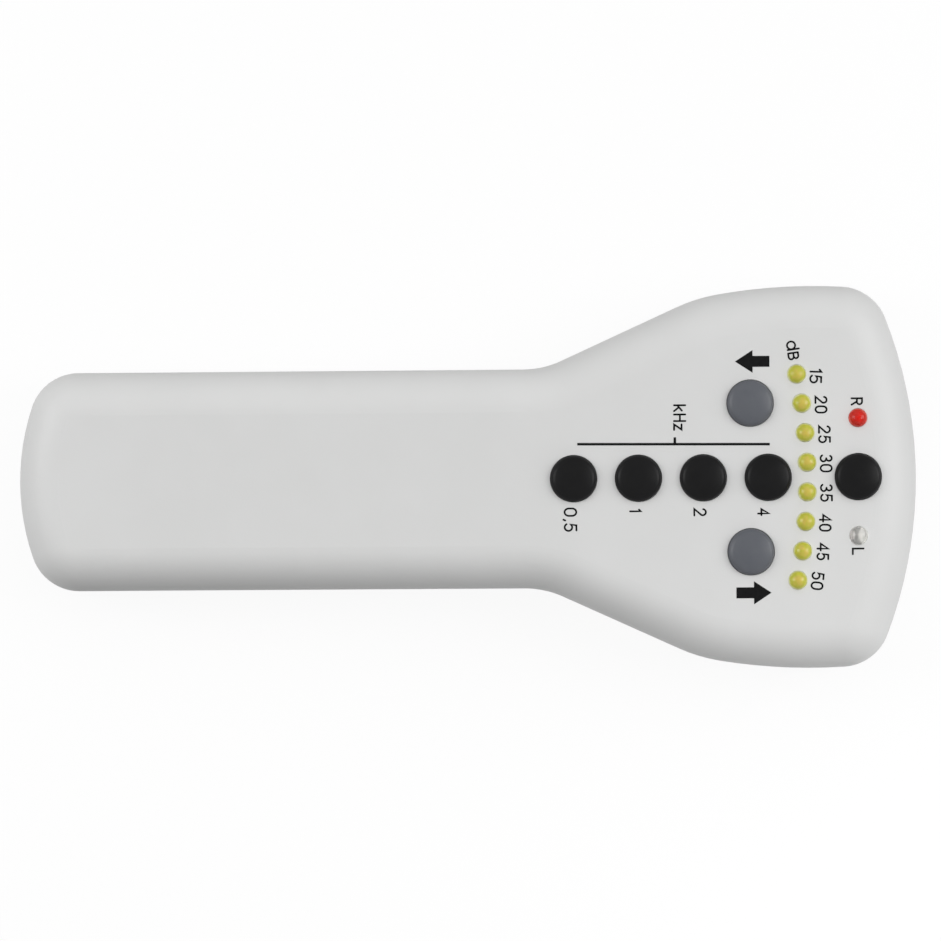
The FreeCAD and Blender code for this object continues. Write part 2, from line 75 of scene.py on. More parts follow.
def arcPoints(cx, cy, rx, ry, start, end, stepAngle=12):
    # points on an oval arc, angles in degrees, either way round, with at least three steps
    count = max(3, int(abs(end - start) / stepAngle))
    points = []
    for i in range(count + 1):
        turn = math.radians(start + (end - start) * i / count)
        points.append((cx + rx * math.cos(turn), cy + ry * math.sin(turn)))
    return points


def latheMesh(name, profile, segments):
    # profile runs from the lowest point on the axis to the highest one, as (radius, z)
    verts = []
    faces = []
    rings = []
    for radius, z in profile:
        if radius < tiny:
            rings.append([len(verts)])
            verts.append((0, 0, z))
            continue
        rings.append(list(range(len(verts), len(verts) + segments)))
        for i in range(segments):
            turn = 2 * math.pi * i / segments
            verts.append((radius * math.cos(turn), radius * math.sin(turn), z))
    for low, high in zip(rings, rings[1:]):
        for i in range(segments):
            j = (i + 1) % segments
            if len(low) == 1 and len(high) == 1:
                continue
            if len(low) == 1:
                faces.append((low[0], high[j], high[i]))
            elif len(high) == 1:
                faces.append((low[i], low[j], high[0]))
            else:
                faces.append((low[i], low[j], high[j], high[i]))
    mesh = bpy.data.meshes.new(name)
    mesh.from_pydata(verts, [], faces)
    mesh.validate()
    return finishMesh(mesh)


def meshFrom(name, work):
    mesh = bpy.data.meshes.new(name)
    work.to_mesh(mesh)
    work.free()
    return mesh


def boxMesh(name, xRange, yRange, zRange, rounding, segments):
    # box between two values on each axis, with rounded edges
    work = bmesh.new()
    bmesh.ops.create_cube(work, size=1)
    for vert in work.verts:
        vert.co = [low + (along + 0.5) * (high - low)
                   for along, (low, high) in zip(vert.co, (xRange, yRange, zRange))]
    bmesh.ops.bevel(work, geom=list(work.edges), offset=rounding, segments=segments, profile=0.5,
                    affect="EDGES")
    return finishMesh(meshFrom(name, work))


def moveMesh(mesh, x, y, z=0):
    mesh.transform(Matrix.Translation((x, y, z)))
    return mesh


def joinMeshes(name, meshes):
    work = bmesh.new()
    for mesh in meshes:
        work.from_mesh(mesh)
    return finishMesh(meshFrom(name, work))


def nodeMiddle(node):
    low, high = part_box(node)
    return (low + high) / 2


def newMaterial(name, color, roughness, metallic=0, specular=0.5, coat=0, coatRoughness=0.1):
    # numbers that are the same all over the surface are set on the shader itself
    material = bpy.data.materials.new(name)
    material.use_nodes = True
    shader = material.node_tree.nodes["Principled BSDF"]
    shader.inputs["Base Color"].default_value = (*color, 1)
    shader.inputs["Roughness"].default_value = roughness
    shader.inputs["Metallic"].default_value = metallic
    shader.inputs["Specular IOR Level"].default_value = specular
    shader.inputs["Coat Weight"].default_value = coat
    shader.inputs["Coat Roughness"].default_value = coatRoughness
    return material


def noiseOn(material, scale, detail, stretch=(1, 1, 1)):
    # noise on the object's own coordinates
    nodes, links = material.node_tree.nodes, material.node_tree.links
    place = nodes.new("ShaderNodeTexCoord")
    mapping = nodes.new("ShaderNodeMapping")
    mapping.inputs["Scale"].default_value = stretch
    noise = nodes.new("ShaderNodeTexNoise")
    noise.inputs["Scale"].default_value = scale
    noise.inputs["Detail"].default_value = detail
    links.new(place.outputs["Object"], mapping.inputs["Vector"])
    links.new(mapping.outputs["Vector"], noise.inputs["Vector"])
    return noise.outputs["Fac"]


def varyColor(material, factor, colorA, colorB, low=0.35, high=0.65):
    nodes, links = material.node_tree.nodes, material.node_tree.links
    ramp = nodes.new("ShaderNodeValToRGB")
    ramp.color_ramp.elements[0].position = low
    ramp.color_ramp.elements[1].position = high
    ramp.color_ramp.elements[0].color = (*colorA, 1)
    ramp.color_ramp.elements[1].color = (*colorB, 1)
    links.new(factor, ramp.inputs["Fac"])
    links.new(ramp.outputs["Color"], nodes["Principled BSDF"].inputs["Base Color"])
    return ramp


noiseRange = (0.3, 0.7)          # most of a noise lies between these
glossSpread = 0.05               # how far moulded plastic's roughness goes up and down


def varyRoughness(material, factor, low, high):
    nodes, links = material.node_tree.nodes, material.node_tree.links
    spread = nodes.new("ShaderNodeMapRange")
    spread.inputs["From Min"].default_value = noiseRange[0]
    spread.inputs["From Max"].default_value = noiseRange[1]
    spread.inputs["To Min"].default_value = low
    spread.inputs["To Max"].default_value = high
    links.new(factor, spread.inputs["Value"])
    links.new(spread.outputs["Result"], nodes["Principled BSDF"].inputs["Roughness"])


def addBump(material, factor, depth):
    nodes, links = material.node_tree.nodes, material.node_tree.links
    bump = nodes.new("ShaderNodeBump")
    bump.inputs["Strength"].default_value = 1
    bump.inputs["Distance"].default_value = depth
    links.new(factor, bump.inputs["Height"])
    links.new(bump.outputs["Normal"], nodes["Principled BSDF"].inputs["Normal"])


def mouldedPlastic(name, look):
    # moulded plastic: a slow change of tone, a fine spark-eroded grain and uneven gloss
    material = newMaterial(name, look["color"], look["roughness"], specular=look.get("specular", 0.5))
    tone = noiseOn(material, look["toneScale"], 3)
    varyColor(material, tone, look["color"], look["secondColor"])
    grain = noiseOn(material, look["grainScale"], 2)
    varyRoughness(material, grain, look["roughness"] - glossSpread, look["roughness"] + glossSpread)
    addBump(material, grain, look["grainDepth"])
    return material


markGloss = (0.75, 1.3)          # roughness between the marks and in them, as shares of the metal's own


def brushedMetal(name, look):
    # metal with marks stretched one way
    material = newMaterial(name, look["color"], look["roughness"], metallic=1)
    marks = noiseOn(material, look["markScale"], 3, look["stretch"])
    varyColor(material, marks, look["color"], look["secondColor"])
    varyRoughness(material, marks, look["roughness"] * markGloss[0], look["roughness"] * markGloss[1])
    addBump(material, marks, look["markDepth"])
    return material


def newTree(name, inputs):
    tree = bpy.data.node_groups.new(name, "GeometryNodeTree")
    tree.interface.new_socket("Geometry", in_out="INPUT", socket_type="NodeSocketGeometry")
    for label, kind, value in inputs:
        socket = tree.interface.new_socket(label, in_out="INPUT", socket_type="NodeSocket" + kind)
        if value is not None:
            socket.default_value = value
    tree.interface.new_socket("Geometry", in_out="OUTPUT", socket_type="NodeSocketGeometry")
    return tree, tree.nodes.new("NodeGroupInput"), tree.nodes.new("NodeGroupOutput")


def mathNode(tree, operation, first, second=None):
    node = tree.nodes.new("ShaderNodeMath")
    node.operation = operation
    for socket, value in zip(node.inputs, (first, second)):
        if isinstance(value, (int, float)):
            socket.default_value = value
        elif value is not None:
            tree.links.new(value, socket)
    return node.outputs[0]


def setInputs(modifier, values):
    for item in modifier.node_group.interface.items_tree:
        if item.item_type == "SOCKET" and item.in_out == "INPUT" and item.name in values:
            modifier[item.identifier] = values[item.name]


def randomSpin(tree, seed, low, high):
    # a turn about Z for each point, between two angles
    turns = tree.nodes.new("FunctionNodeRandomValue")
    tree.links.new(seed, turns.inputs["Seed"])
    # its float sockets go by number, because the others have the same names
    floatRange = (turns.inputs[2], turns.inputs[3])
    for socket, value in zip(floatRange, (low, high)):
        if isinstance(value, (int, float)):
            socket.default_value = value
        else:
            tree.links.new(value, socket)
    spin = tree.nodes.new("ShaderNodeCombineXYZ")
    tree.links.new(turns.outputs[1], spin.inputs["Z"])
    return spin.outputs["Vector"]


def placeCopies(tree, points, instance, rotation, groupIn, groupOut):
    # a copy on each point, made real and given the tree's material
    link = tree.links.new
    spread = tree.nodes.new("GeometryNodeInstanceOnPoints")
    link(points, spread.inputs["Points"])
    link(instance, spread.inputs["Instance"])
    link(rotation, spread.inputs["Rotation"])
    real = tree.nodes.new("GeometryNodeRealizeInstances")
    link(spread.outputs["Instances"], real.inputs["Geometry"])
    painted = tree.nodes.new("GeometryNodeSetMaterial")
    link(real.outputs["Geometry"], painted.inputs["Geometry"])
    link(groupIn.outputs["Material"], painted.inputs["Material"])
    link(painted.outputs["Geometry"], groupOut.inputs["Geometry"])


def treeResult(name, startMesh, tree, values):
    # runs a tree on a mesh and keeps the outcome as a plain mesh
    source = bpy.data.objects.new(name + "_source", startMesh)
    scene.collection.objects.link(source)
    modifier = source.modifiers.new("tree", "NODES")
    modifier.node_group = tree
    setInputs(modifier, values)
    bpy.context.view_layer.update()
    graph = bpy.context.evaluated_depsgraph_get()
    result = bpy.data.meshes.new_from_object(source.evaluated_get(graph))
    source.modifiers.remove(modifier)
    bpy.data.objects.remove(source)
    result.name = name
    return result


# finishes: colours vary between the two given, scales are per metre and depths in metres
housingLook = {"color": (0.655, 0.657, 0.652), "secondColor": (0.668, 0.670, 0.666), "roughness": 0.47,
               "toneScale": 55, "grainScale": 2600, "grainDepth": 0.00002, "specular": 0.32}
blackCapLook = {"color": (0.0038, 0.0038, 0.0041), "secondColor": (0.0052, 0.0052, 0.0055),
                "roughness": 0.36, "toneScale": 300, "grainScale": 3200, "grainDepth": 0.000008,
                "specular": 0.13}
greyCapLook = {"color": (0.084, 0.090, 0.105), "secondColor": (0.091, 0.097, 0.111),
               "roughness": 0.42, "toneScale": 300, "grainScale": 3200, "grainDepth": 0.000008,
               "specular": 0.42}
darkPlasticLook = {"color": (0.012, 0.012, 0.013), "secondColor": (0.018, 0.018, 0.019), "roughness": 0.5,
                   "toneScale": 200, "grainScale": 2500, "grainDepth": 0.00001}
palePlasticLook = {"color": (0.58, 0.57, 0.54), "secondColor": (0.63, 0.62, 0.59), "roughness": 0.5,
                   "toneScale": 120, "grainScale": 2500, "grainDepth": 0.00001}
nylonLook = {**palePlasticLook, "color": (0.72, 0.72, 0.69), "secondColor": (0.78, 0.78, 0.75)}
steelLook = {"color": (0.56, 0.56, 0.55), "secondColor": (0.66, 0.66, 0.65), "roughness": 0.3,
             "markScale": 900, "stretch": (1, 6, 1), "markDepth": 0.000004}
nickelLook = {"color": (0.60, 0.58, 0.54), "secondColor": (0.70, 0.68, 0.64), "roughness": 0.22,
              "markScale": 1200, "stretch": (8, 1, 1), "markDepth": 0.000003}
tinLook = {"color": (0.60, 0.60, 0.58), "secondColor": (0.70, 0.70, 0.68), "roughness": 0.38,
           "markScale": 1500, "stretch": (1, 1, 5), "markDepth": 0.000003}
boardLook = {"color": (0.010, 0.090, 0.030), "copperColor": (0.020, 0.150, 0.052), "roughness": 0.3,
             "coat": 0.3, "areaScale": 160, "areaStretch": (1, 0.35, 1), "areaEdge": (0.49, 0.51),
             "copperRise": 0.00003}


def solderMask(name, look):
    # solder mask over copper areas
    material = newMaterial(name, look["color"], look["roughness"], coat=look["coat"])
    areas = noiseOn(material, look["areaScale"], 1, look["areaStretch"])
    varyColor(material, areas, look["color"], look["copperColor"], *look["areaEdge"])
    addBump(material, areas, look["copperRise"])
    return material


# lens colours: the heart is a painted inner reflection at the crown, the rim a painted glow at the rim, and
# color the epoxy's own tint between them
yellowLook = {"heartColor": (0.69, 0.54, 0.08), "color": (0.57, 0.57, 0.04),
              "rimColor": (0.80, 0.82, 0.42), "roughness": 0.28, "specular": 0.4, "transmission": 0.25}
redLook = {"heartColor": (0.74, 0.008, 0.002), "color": (0.62, 0.016, 0.006),
           "rimColor": (0.76, 0.14, 0.10), "roughness": 0.18, "specular": 0.15, "transmission": 0.2}
clearLook = {"heartColor": (0.94, 0.93, 0.90), "color": (0.96, 0.96, 0.94),
             "rimColor": (0.97, 0.97, 0.95), "roughness": 0.05, "specular": 0.5, "transmission": 0.72}
# rim and crown are heights above the top face in millimetres, the body's limits shares between them
lensTint = {"rim": 0.1, "crown": 2.0, "bodyStart": 0.45, "bodyEnd": 0.7, "cloud": 0.9,
            "cloudScale": 800, "refraction": 1.53}


def lensPlastic(name, look):
    # tinted epoxy, a little cloudy, with light painted into its colour by height: a pale painted glow at the
    # rim and a warm painted inner reflection at the crown
    material = newMaterial(name, look["color"], look["roughness"], specular=look["specular"])
    tree = material.node_tree
    nodes, links = tree.nodes, tree.links
    shader = nodes["Principled BSDF"]
    shader.inputs["Transmission Weight"].default_value = look["transmission"]
    shader.inputs["IOR"].default_value = lensTint["refraction"]
    place = nodes.new("ShaderNodeTexCoord")
    split = nodes.new("ShaderNodeSeparateXYZ")
    links.new(place.outputs["Object"], split.inputs["Vector"])
    depth = nodes.new("ShaderNodeMapRange")
    depth.inputs["From Min"].default_value = topFace + lensTint["rim"] * mm
    depth.inputs["From Max"].default_value = topFace + lensTint["crown"] * mm
    links.new(split.outputs["Z"], depth.inputs["Value"])
    cloud = mathNode(tree, "SUBTRACT", noiseOn(material, lensTint["cloudScale"], 2), 0.5)
    sway = mathNode(tree, "MULTIPLY", cloud, lensTint["cloud"])
    swayed = mathNode(tree, "ADD", depth.outputs["Result"], sway)
    # painted light: from the painted glow at the rim, through the own tint, to the painted inner reflection
    # at the crown
    tint = varyColor(material, swayed, look["rimColor"], look["heartColor"], 0, 1)
    for stop in (lensTint["bodyStart"], lensTint["bodyEnd"]):
        tint.color_ramp.elements.new(stop).color = (*look["color"], 1)
    return material


sleeveLook = {**darkPlasticLook, "color": (0.01, 0.02, 0.07), "secondColor": (0.014, 0.026, 0.085)}
canLook = {**steelLook, "color": (0.30, 0.32, 0.35), "secondColor": (0.36, 0.38, 0.41)}

# one finish for each material slot of the record
finishes = {
    "housing": mouldedPlastic("housingPlastic", housingLook),
    "black_cap": mouldedPlastic("blackCapRubber", blackCapLook),
    "grey_cap": mouldedPlastic("greyCapRubber", greyCapLook),
    "stem_plastic": mouldedPlastic("stemPlastic", palePlasticLook),
    "switch_plastic": mouldedPlastic("switchPlastic", darkPlasticLook),
    "spring_steel": brushedMetal("springSteel", steelLook),
    "yellow_lens": lensPlastic("yellowLens", yellowLook),
    "red_lens": lensPlastic("redLens", redLook),
    "clear_lens": lensPlastic("clearLens", clearLook),
    "board": solderMask("solderMask", boardLook),
    "tinned_wire": brushedMetal("tinnedWire", tinLook),
    "spacer_nylon": mouldedPlastic("spacerNylon", nylonLook),
    "chip_plastic": mouldedPlastic("chipPlastic", darkPlasticLook),
    "crystal_steel": brushedMetal("crystalSteel", steelLook),
    "capacitor_sleeve": mouldedPlastic("capacitorSleeve", sleeveLook),
    "resistor_ceramic": mouldedPlastic("resistorCeramic", darkPlasticLook),
    "socket_plastic": mouldedPlastic("socketPlastic", darkPlasticLook),
    "collar_metal": brushedMetal("collarNickel", nickelLook),
    "battery_metal": brushedMetal("batterySleeve", canLook),
    "terminal_metal": brushedMetal("terminalNickel", nickelLook),
    "plate_plastic": mouldedPlastic("platePlastic", darkPlasticLook),
    "strip_metal": brushedMetal("stripMetal", tinLook),
    "screw_steel": brushedMetal("screwSteel", steelLook),
}
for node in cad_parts.values():
    for holder in node.material_slots:
        slotName = holder.material.name.split(".")[0]
        holder.material = finishes[slotName]
print("materials set on the nodes")


# printed legends, in millimetres: thin raised ink that sinks a little into the top face
legendLook = {"stroke": 0.46, "rise": 0.03, "sink": 0.02, "step": 0.001, "letterGap": 0.29,
              "capRoundness": 8, "mitreLimit": 0.45, "sameSpot": 0.0001, "closedGap": 0.001}

# lines of each character, on a cap height of 1
letters = {
    "0": [arcPoints(0.28, 0.64, 0.28, 0.36, 0, 180) + arcPoints(0.28, 0.36, 0.28, 0.36, 180, 360)
          + [(0.56, 0.64)]],
    "1": [[(0, 0.84), (0.16, 1), (0.16, 0)]],
    "2": [arcPoints(0.28, 0.73, 0.26, 0.27, 170, -25) + [(0, 0), (0.56, 0)]],
    "3": [arcPoints(0.26, 0.755, 0.22, 0.245, 155, -90), arcPoints(0.26, 0.255, 0.27, 0.255, 90, -155)],
    "4": [[(0.44, 0), (0.44, 1), (0, 0.3), (0.6, 0.3)]],
    "5": [[(0.5, 1), (0.11, 1), (0.05, 0.52)] + arcPoints(0.26, 0.32, 0.27, 0.32, 125, -150)],
    ",": [[(0.06, 0.05), (0, -0.1)]],
    "k": [[(0, 0), (0, 1)], [(0.46, 0.70), (0.02, 0.30)], [(0.17, 0.43), (0.50, 0)]],
    "H": [[(0, 0), (0, 1)], [(0.56, 0), (0.56, 1)], [(0, 0.52), (0.56, 0.52)]],
    "z": [[(0, 0.66), (0.44, 0.66), (0, 0), (0.46, 0)]],
    "d": [arcPoints(0.32, 0.36, 0.32, 0.36, 90, 450), [(0.66, 0), (0.66, 1)]],
    "B": [[(0, 0), (0, 0.86)],
          [(0, 0.86), (0.26, 0.86)] + arcPoints(0.26, 0.655, 0.21, 0.205, 90, -90) + [(0, 0.45)],
          [(0, 0.45), (0.28, 0.45)] + arcPoints(0.28, 0.225, 0.23, 0.225, 90, -90) + [(0, 0)]],
    "R": [[(0, 0), (0, 1), (0.28, 1)] + arcPoints(0.28, 0.755, 0.24, 0.245, 90, -90) + [(0, 0.51)],
          [(0.28, 0.51), (0.55, 0)]],
    "L": [[(0, 1), (0, 0), (0.5, 0)]],
}


def cleanLine(points):
    # leaves out points that fall on the one before
    kept = [points[0]]
    for point in points[1:]:
        if math.dist(point, kept[-1]) > legendLook["sameSpot"]:
            kept.append(point)
    return kept


def ribbonPrism(points, width, z0, z1, roundness):
    # a flat closed ribbon along a line, with round ends and mitred bends
    closed = math.dist(points[0], points[-1]) < legendLook["closedGap"] * mm
    if closed:
        points = points[:-1]
    half = width / 2
    count = len(points)
    left, right = [], []
    for i, (x, y) in enumerate(points):
        before = points[i - 1] if closed or i > 0 else None
        after = points[(i + 1) % count] if closed or i < count - 1 else None
        ways = []
        if before:
            ways.append(Vector((x - before[0], y - before[1])).normalized())
        if after:
            ways.append(Vector((after[0] - x, after[1] - y)).normalized())
        along = sum(ways, Vector((0, 0))).normalized()
        across = Vector((-along.y, along.x))
        reach = half / max(legendLook["mitreLimit"], across.dot(Vector((-ways[0].y, ways[0].x))))
        left.append(Vector((x, y)) + across * reach)
        right.append(Vector((x, y)) - across * reach)
    work = bmesh.new()

    def level(ring, z):
        return [work.verts.new((place.x, place.y, z)) for place in ring]

    def skin(first, second, last):
        for i in range(last):
            j = (i + 1) % len(first)
            work.faces.new((first[i], first[j], second[j], second[i]))

    topLeft, topRight = level(left, z1), level(right, z1)
    lowLeft, lowRight = level(left, z0), level(right, z0)
    spans = count if closed else count - 1
    skin(topRight, topLeft, spans)
    skin(lowLeft, lowRight, spans)
    skin(topLeft, lowLeft, spans)
    skin(lowRight, topRight, spans)
    if not closed:
        lastEnd = (points[-1], right[-1], (topRight[-1], topLeft[-1]), (lowRight[-1], lowLeft[-1]))
        firstEnd = (points[0], left[0], (topLeft[0], topRight[0]), (lowLeft[0], lowRight[0]))
        for middle, start, top, low in (lastEnd, firstEnd):
            offset = start - Vector(middle)
            bend = [Vector(middle) + Matrix.Rotation(math.pi * k / roundness, 2) @ offset
                    for k in range(1, roundness)]
            topBend, lowBend = level(bend, z1), level(bend, z0)
            topRing = [top[0], *topBend, top[1]]
            lowRing = [low[0], *lowBend, low[1]]
            work.faces.new(topRing)
            work.faces.new(lowRing[::-1])
            for i in range(roundness):
                work.faces.new((lowRing[i], lowRing[i + 1], topRing[i + 1], topRing[i]))
    bmesh.ops.recalc_face_normals(work, faces=list(work.faces))
    return meshFrom("ribbon", work)


def legendLines(text, heightOver, width):
    # lines of a text, centred; heightOver and width are over the strokes' outside
    stroke = legendLook["stroke"]
    cap = heightOver - stroke
    lines = []
    here = 0
    for letter in text:
        strokes = letters[letter]
        start = min(x for line in strokes for x, y in line)
        end = max(x for line in strokes for x, y in line)
        for line in strokes:
            lines.append([((here + x - start) * cap, y * cap) for x, y in line])
        here += end - start + legendLook["letterGap"]
    total = (here - legendLook["letterGap"]) * cap
    squeeze = (width - stroke) / total
    return [[((x - total / 2) * squeeze, y - cap / 2) for x, y in line] for line in lines]


def printText(text, x, y, heightOver, width, tilt=0):
    # text reads towards -Y with its top towards +X; tilt turns it along the arc
    turn = math.radians(-90 + tilt)
    meshes = []
    for number, line in enumerate(legendLines(text, heightOver, width)):
        placed = [((x + u * math.cos(turn) - v * math.sin(turn)) * mm,
                   (y + u * math.sin(turn) + v * math.cos(turn)) * mm) for u, v in cleanLine(line)]
        rise = (legendLook["rise"] + legendLook["step"] * number) * mm
        meshes.append(ribbonPrism(placed, legendLook["stroke"] * mm, topFace - legendLook["sink"] * mm,
                                  topFace + rise, legendLook["capRoundness"]))
    return meshes


def printShape(points, rise):
    # a flat printed shape inside an outline
    work = bmesh.new()
    top = [work.verts.new((x * mm, y * mm, topFace + rise * mm)) for x, y in points]
    low = [work.verts.new((x * mm, y * mm, topFace - legendLook["sink"] * mm)) for x, y in points]
    work.faces.new(top)
    work.faces.new(low[::-1])
    for i in range(len(points)):
        j = (i + 1) % len(points)
        work.faces.new((low[i], low[j], top[j], top[i]))
    bmesh.ops.triangulate(work, faces=[face for face in work.faces if len(face.verts) > 4])
    bmesh.ops.recalc_face_normals(work, faces=list(work.faces))
    return meshFrom("shape", work)


def printArrow(tip, join, tail, y, headHalf, shaftHalf):
    outline = [(tip, y), (join, y - headHalf), (join, y - shaftHalf), (tail, y - shaftHalf),
               (tail, y + shaftHalf), (join, y + shaftHalf), (join, y + headHalf)]
    return printShape(outline, legendLook["rise"])


inkLook = {"color": (0.004, 0.004, 0.0043), "secondColor": (0.007, 0.007, 0.0073), "roughness": 0.5,
           "toneScale": 900, "grainScale": 6000, "grainDepth": 0.000003, "specular": 0.08}
ink = mouldedPlastic("legendInk", inkLook)

# each text with its middle in X and Y, its height and its width, and in the bent row its tilt in degrees
frequencyLegend = {"0,5": (25.84, -10.24, 3.4, 6.05), "1": (42.1, -8.06, 3.12, 0.87),
                   "2": (58.28, -8.61, 3.35, 2.1), "4": (74.16, -8.69, 3.15, 1.95),
                   "kHz": (53.35, 15.12, 3.28, 6.6)}
bracket = {"start": (27.66, 8.63), "end": (75.86, 8.3), "width": 0.63, "tickX": 52.09, "tickEnd": 10.18}
levelLegend = {"dB": (81.92, 31.78, 3.3, 4.9, 8), "15": (87.48, 25.25, 3.2, 3.72, -2),
               "20": (88.75, 18.09, 3.25, 4.45, 0), "25": (89.55, 10.69, 3.2, 4.5, 0),
               "30": (89.92, 3.37, 3.25, 4.5, 0), "35": (89.93, -3.99, 3.2, 4.5, 0),
               "40": (89.6, -11.51, 3.2, 4.4, -1), "45": (88.93, -18.68, 3.2, 4.4, -1),
               "50": (87.54, -26.05, 3.25, 4.5, -6)}
earLegend = {"R": (97.7, 18.82, 3.1, 2.05), "L": (97.78, -18.69, 3.15, 1.85)}
# each arrow's tip, join and tail in X, its place in Y, and half widths of its head and shaft
arrows = [(67.28, 71.68, 75.91, 29.03, 2.84, 1.375), (76.03, 71.63, 67.23, -28.87, 2.9, 1.375)]

frequencyMeshes = []
for text, (x, y, heightOver, width) in frequencyLegend.items():
    frequencyMeshes += printText(text, x, y, heightOver, width)
(startX, startY), (endX, endY) = bracket["start"], bracket["end"]
halfLine = bracket["width"] / 2
frequencyMeshes.append(printShape([(startX, startY - halfLine), (endX, endY - halfLine),
                                   (endX, endY + halfLine), (startX, startY + halfLine)],
                                  legendLook["rise"]))
tickLow, tickHigh = bracket["tickX"] - halfLine, bracket["tickX"] + halfLine
tickFoot = startY - halfLine / 2
frequencyMeshes.append(printShape([(tickLow, tickFoot), (tickHigh, tickFoot), (tickHigh, bracket["tickEnd"]),
                                   (tickLow, bracket["tickEnd"])],
                                  legendLook["rise"] + legendLook["step"]))
levelMeshes = []
for text, (x, y, heightOver, width, tilt) in levelLegend.items():
    levelMeshes += printText(text, x, y, heightOver, width, tilt)
earMeshes = []
for text, (x, y, heightOver, width) in earLegend.items():
    earMeshes += printText(text, x, y, heightOver, width)
arrowMeshes = [printArrow(*sizes) for sizes in arrows]
for name, meshes in (("frequency_legend", frequencyMeshes), ("level_legend", levelMeshes),
                     ("ear_legend", earMeshes), ("level_arrows", arrowMeshes)):
    piece = makeObject(name, joinMeshes(name, meshes), ink)
    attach(piece, "housing")
print("legends printed")


# lights, in millimetres: lenses with the metal parts that are cast inside them
lensLook = {"radius": 2.35, "length": 8.5, "rise": 2.0, "flangeRadius": 2.75, "flangeThickness": 1.0,
            "flangeRound": 0.15, "domeStep": 6, "segments": 48}
insideLook = {"foot": 23.6, "top": 27.9, "gap": 0.35, "thickness": 0.5, "anvilWidth": 1.9,
              "postWidth": 0.55, "postThickness": 0.8, "edgeRound": 0.06, "edgeSteps": 2,
              "cupRadius": 0.85, "cupDepth": 0.45, "cupFootRise": 1.0, "cupFootShare": 0.8,
              "cupBoreShare": 0.72, "cupBottomShare": 0.6, "cupSegments": 24}
# the cup's pale matte plastic colour is a painted reflection, standing in for the light its bright metal
# reflects
cupPaintedReflectionLook = {"color": (0.80, 0.79, 0.74), "secondColor": (0.86, 0.85, 0.81), "roughness": 0.4,
           "toneScale": 900, "grainScale": 4000, "grainDepth": 0.000003}
postLook = {**tinLook, "color": (0.30, 0.27, 0.26), "secondColor": (0.38, 0.34, 0.33)}
rowLook = {"levels": range(15, 55, 5), "turn": 0.25, "seed": 3}        # turn is in radians either way


def lensProfile(look):
    foot = topFace / mm + look["rise"] - look["length"]
    shoulder = topFace / mm + look["rise"] - look["radius"]
    rounding = look["flangeRound"]
    profile = [(0, foot), (look["flangeRadius"] - rounding, foot), (look["flangeRadius"], foot + rounding),
               (look["flangeRadius"], foot + look["flangeThickness"] - rounding),
               (look["flangeRadius"] - rounding, foot + look["flangeThickness"]),
               (look["radius"], foot + look["flangeThickness"])]
    profile += arcPoints(0, shoulder, look["radius"], look["radius"], 0, 90, look["domeStep"])
    profile[-1] = (0, profile[-1][1])
    return [(r * mm, z * mm) for r, z in profile]


def insideMeshes(look):
    # the anvil with its cup on one lead, and the post on the other
    foot, top = look["foot"] * mm, look["top"] * mm
    half, postHalf = look["thickness"] / 2 * mm, look["postThickness"] / 2 * mm
    gap = look["gap"] / 2 * mm
    cupFloor = top - look["cupDepth"] * mm
    edges = (look["edgeRound"] * mm, look["edgeSteps"])
    anvil = boxMesh("anvil", (gap, gap + look["anvilWidth"] * mm), (-half, half), (foot, cupFloor), *edges)
    post = boxMesh("post", (-gap - look["postWidth"] * mm, -gap), (-postHalf, postHalf), (foot, top), *edges)
    outer, inner = look["cupRadius"] * mm, look["cupRadius"] * look["cupBoreShare"] * mm
    cupFoot = foot + look["cupFootRise"] * mm
    profile = [(0, cupFoot), (outer * look["cupFootShare"], cupFoot), (outer, top), (inner, top),
               (inner * look["cupBottomShare"], cupFloor), (0, cupFloor)]
    cup = moveMesh(latheMesh("cup", profile, look["cupSegments"]), gap + look["cupRadius"] * mm, 0)
    return joinMeshes("lightCup", [anvil, cup]), post


def makeRowTree():
    # copies along an arc about a place on the X axis, each turned a little by chance
    tree, groupIn, groupOut = newTree("lightRow", [
        ("Count", "Int", 8), ("Pitch", "Float", 0.0075), ("Arc Radius", "Float", 0.123),
        ("Arc Centre", "Float", -0.038), ("Turn", "Float", 0.2), ("Seed", "Int", 3),
        ("Material", "Material", None)])
    link = tree.links.new
    given = groupIn.outputs
    line = tree.nodes.new("GeometryNodeMeshLine")
    line.inputs["Offset"].default_value = (0, 0, 0)
    link(given["Count"], line.inputs["Count"])
    index = tree.nodes.new("GeometryNodeInputIndex").outputs["Index"]
    lastIndex = mathNode(tree, "SUBTRACT", given["Count"], 1)
    fromMiddle = mathNode(tree, "SUBTRACT", mathNode(tree, "MULTIPLY", lastIndex, 0.5), index)
    stepAngle = mathNode(tree, "DIVIDE", given["Pitch"], given["Arc Radius"])
    angle = mathNode(tree, "MULTIPLY", fromMiddle, stepAngle)
    alongX = mathNode(tree, "MULTIPLY", mathNode(tree, "COSINE", angle), given["Arc Radius"])
    alongY = mathNode(tree, "MULTIPLY", mathNode(tree, "SINE", angle), given["Arc Radius"])
    place = tree.nodes.new("ShaderNodeCombineXYZ")
    link(mathNode(tree, "ADD", alongX, given["Arc Centre"]), place.inputs["X"])
    link(alongY, place.inputs["Y"])
    onArc = tree.nodes.new("GeometryNodeSetPosition")
    link(line.outputs["Mesh"], onArc.inputs["Geometry"])
    link(place.outputs["Vector"], onArc.inputs["Position"])
    spin = randomSpin(tree, given["Seed"], mathNode(tree, "MULTIPLY", given["Turn"], -1), given["Turn"])
    placeCopies(tree, onArc.outputs["Geometry"], given["Geometry"], spin, groupIn, groupOut)
    return tree


